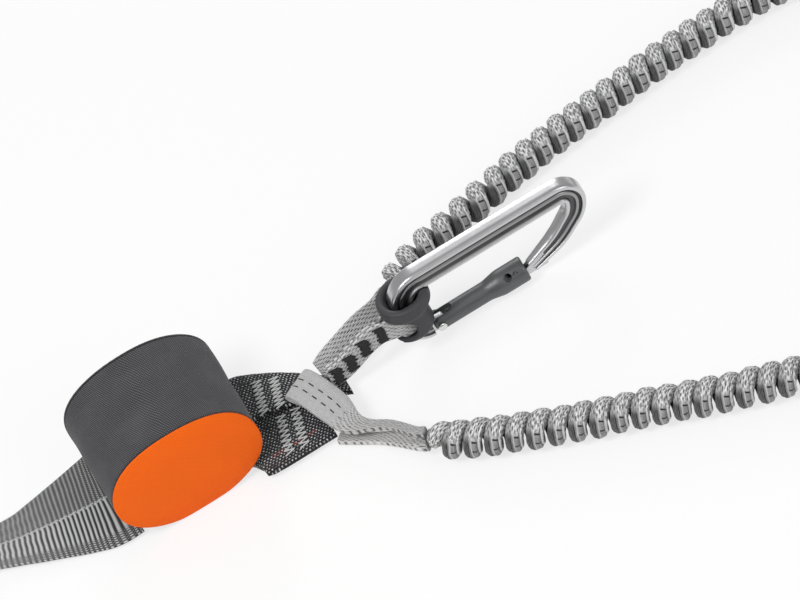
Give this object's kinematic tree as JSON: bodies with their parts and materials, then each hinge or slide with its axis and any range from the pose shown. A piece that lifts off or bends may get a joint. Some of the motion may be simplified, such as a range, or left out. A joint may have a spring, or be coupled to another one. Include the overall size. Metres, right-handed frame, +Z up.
{
  "type": "via ferrata lanyard",
  "caption": "Via ferrata lanyard with a fabric absorber pouch, a harness strap, elastic coiled arms with locking connectors and a short arm with a rest carabiner.",
  "frame": {"origin": "middle of the flat stretch under the pouch, on the ground", "axes": "+X runs from the harness side through the pouch to the arms, -Y is the orange front panel, +Z is up from the ground"},
  "size_m": [0.8623, 0.2651, 0.0494],
  "materials": {
    "dark_fabric": "finely ribbed dark grey woven cloth",
    "orange_fabric": "fine orange woven cloth",
    "grey_webbing": "grey ribbed webbing",
    "arm_webbing": "light grey webbing with black flecks",
    "black_webbing": "black webbing with white flecks",
    "white_thread": "white sewing thread",
    "black_thread": "black sewing thread and zip tape",
    "black_rubber": "matte black moulded rubber and plastic",
    "satin_aluminium": "bright satin forged aluminium",
    "dark_aluminium": "dark grey anodised aluminium",
    "bright_steel": "bright steel"
  },
  "bodies": {
    "lanyard": {"absorber_leg_lower": "black_webbing", "absorber_leg_lower_bartack_1": "white_thread", "absorber_leg_lower_bartack_2": "white_thread", "absorber_leg_upper": "black_webbing", "absorber_leg_upper_bartack_1": "white_thread", "absorber_leg_upper_bartack_2": "white_thread", "front_panel": "orange_fabric", "harness_bartack_1": "black_thread", "harness_bartack_2": "black_thread", "harness_loop": "grey_webbing", "harness_webbing": "grey_webbing", "junction_strap": "arm_webbing", "lower_arm_tail": "arm_webbing", "lower_connector_end_strap": "arm_webbing", "lower_connector_frame": "satin_aluminium", "lower_connector_hinge_pin": "bright_steel", "lower_connector_keeper": "black_rubber", "lower_connector_lever_pin": "bright_steel", "lower_elastic_arm": "arm_webbing", "pouch_band": "dark_fabric", "rear_panel": "dark_fabric", "rest_arm_strap": "arm_webbing", "rest_bartack_1": "black_thread", "rest_bartack_2": "black_thread", "rest_bartack_3": "black_thread", "rest_bartack_4": "black_thread", "rest_frame": "satin_aluminium", "rest_hinge_pin": "bright_steel", "rest_keeper": "black_rubber", "tear_webbing": "black_webbing", "upper_arm_strap": "arm_webbing", "upper_connector_end_strap": "arm_webbing", "upper_connector_frame": "satin_aluminium", "upper_connector_hinge_pin": "bright_steel", "upper_connector_keeper": "black_rubber", "upper_connector_lever_pin": "bright_steel", "upper_elastic_arm": "arm_webbing", "zip_tape": "black_thread"},
    "rest_gate": {"rest_gate": "dark_aluminium", "rest_nose_pin": "dark_aluminium", "rest_gate_spring": "bright_steel"},
    "zip_slider": {"zip_slider": "bright_steel"},
    "zip_pull": {"zip_pull": "bright_steel"},
    "upper_connector_gate": {"upper_connector_gate": "dark_aluminium", "upper_connector_nose_pin": "dark_aluminium"},
    "lower_connector_gate": {"lower_connector_gate": "dark_aluminium", "lower_connector_nose_pin": "dark_aluminium"},
    "upper_connector_lever": {"upper_connector_lever": "black_rubber"},
    "lower_connector_lever": {"lower_connector_lever": "black_rubber"}
  },
  "joints": [
    {"name": "rest_gate_hinge", "type": "hinge", "parent": "lanyard", "child": "rest_gate", "pos_m": [0.12732, -0.013, 0.0068], "axis": [0, -1, 0], "range_deg": [0, 22], "stiffness_Nm_per_rad": 0.15, "springref_deg": -17.19},
    {"name": "zip_slide", "type": "slide", "parent": "lanyard", "child": "zip_slider", "axis": [1, 0, 0], "range_m": [0, 0.037]},
    {"name": "zip_pull_hinge", "type": "hinge", "parent": "zip_slider", "child": "zip_pull", "pos_m": [-0.01875, 0.0339, 0.0244], "axis": [0, 0, 1], "range_deg": [0, 120]},
    {"name": "upper_connector_gate_hinge", "type": "hinge", "parent": "lanyard", "child": "upper_connector_gate", "pos_m": [0.56896, -0.00488, 0.0082], "axis": [0, 0, 1], "range_deg": [0, 28], "stiffness_Nm_per_rad": 0.15, "springref_deg": -17.19},
    {"name": "upper_connector_lever_hinge", "type": "hinge", "parent": "lanyard", "child": "upper_connector_lever", "pos_m": [0.62886, 0.04745, 0.0082], "axis": [0, 0, 1], "range_deg": [0, 3.5], "stiffness_Nm_per_rad": 0.3, "springref_deg": -5.73},
    {"name": "lower_connector_gate_hinge", "type": "hinge", "parent": "lanyard", "child": "lower_connector_gate", "pos_m": [0.54096, -0.19938, 0.0082], "axis": [0, 0, 1], "range_deg": [0, 28], "stiffness_Nm_per_rad": 0.15, "springref_deg": -17.19},
    {"name": "lower_connector_lever_hinge", "type": "hinge", "parent": "lanyard", "child": "lower_connector_lever", "pos_m": [0.60086, -0.14705, 0.0082], "axis": [0, 0, 1], "range_deg": [0, 3.5], "stiffness_Nm_per_rad": 0.3, "springref_deg": -5.73}
  ]
}
